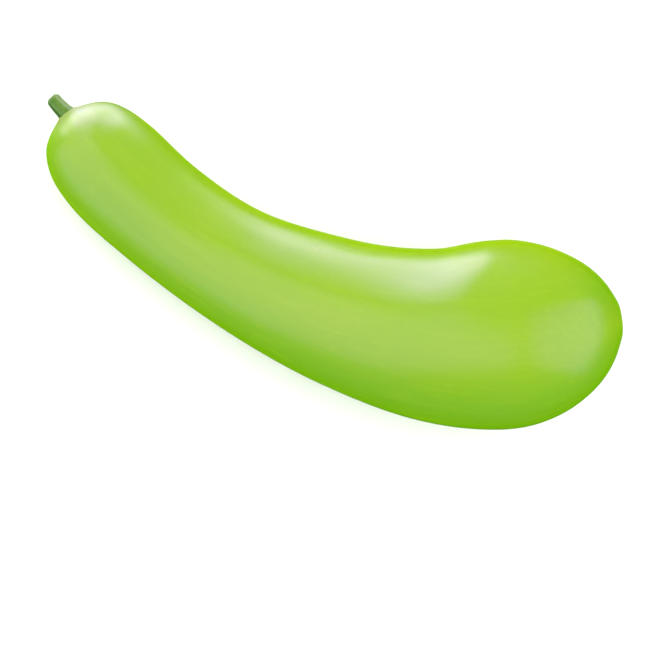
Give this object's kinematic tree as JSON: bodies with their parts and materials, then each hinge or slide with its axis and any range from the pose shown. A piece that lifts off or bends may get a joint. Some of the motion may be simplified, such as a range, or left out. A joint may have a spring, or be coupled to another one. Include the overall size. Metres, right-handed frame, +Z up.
{
  "type": "bottle gourd",
  "caption": "Whole bottle gourd as picked: a slim bent neck widens to a round bulb, with a short ribbed stem, lying on its side.",
  "frame": {"origin": "centre of the gourd's box, on the surface that it lies on", "axes": "+X along the gourd's length from the stem end to the blossom end, +Y towards the hollow side of its bend, +Z up"},
  "size_m": [0.3284, 0.1116, 0.1026],
  "materials": {
    "skin": "smooth waxy rind with a soft gloss",
    "stem": "fibrous green stem with a dry cut end"
  },
  "bodies": {
    "root": {"fruit": "skin", "stem": "stem"}
  },
  "joints": []
}
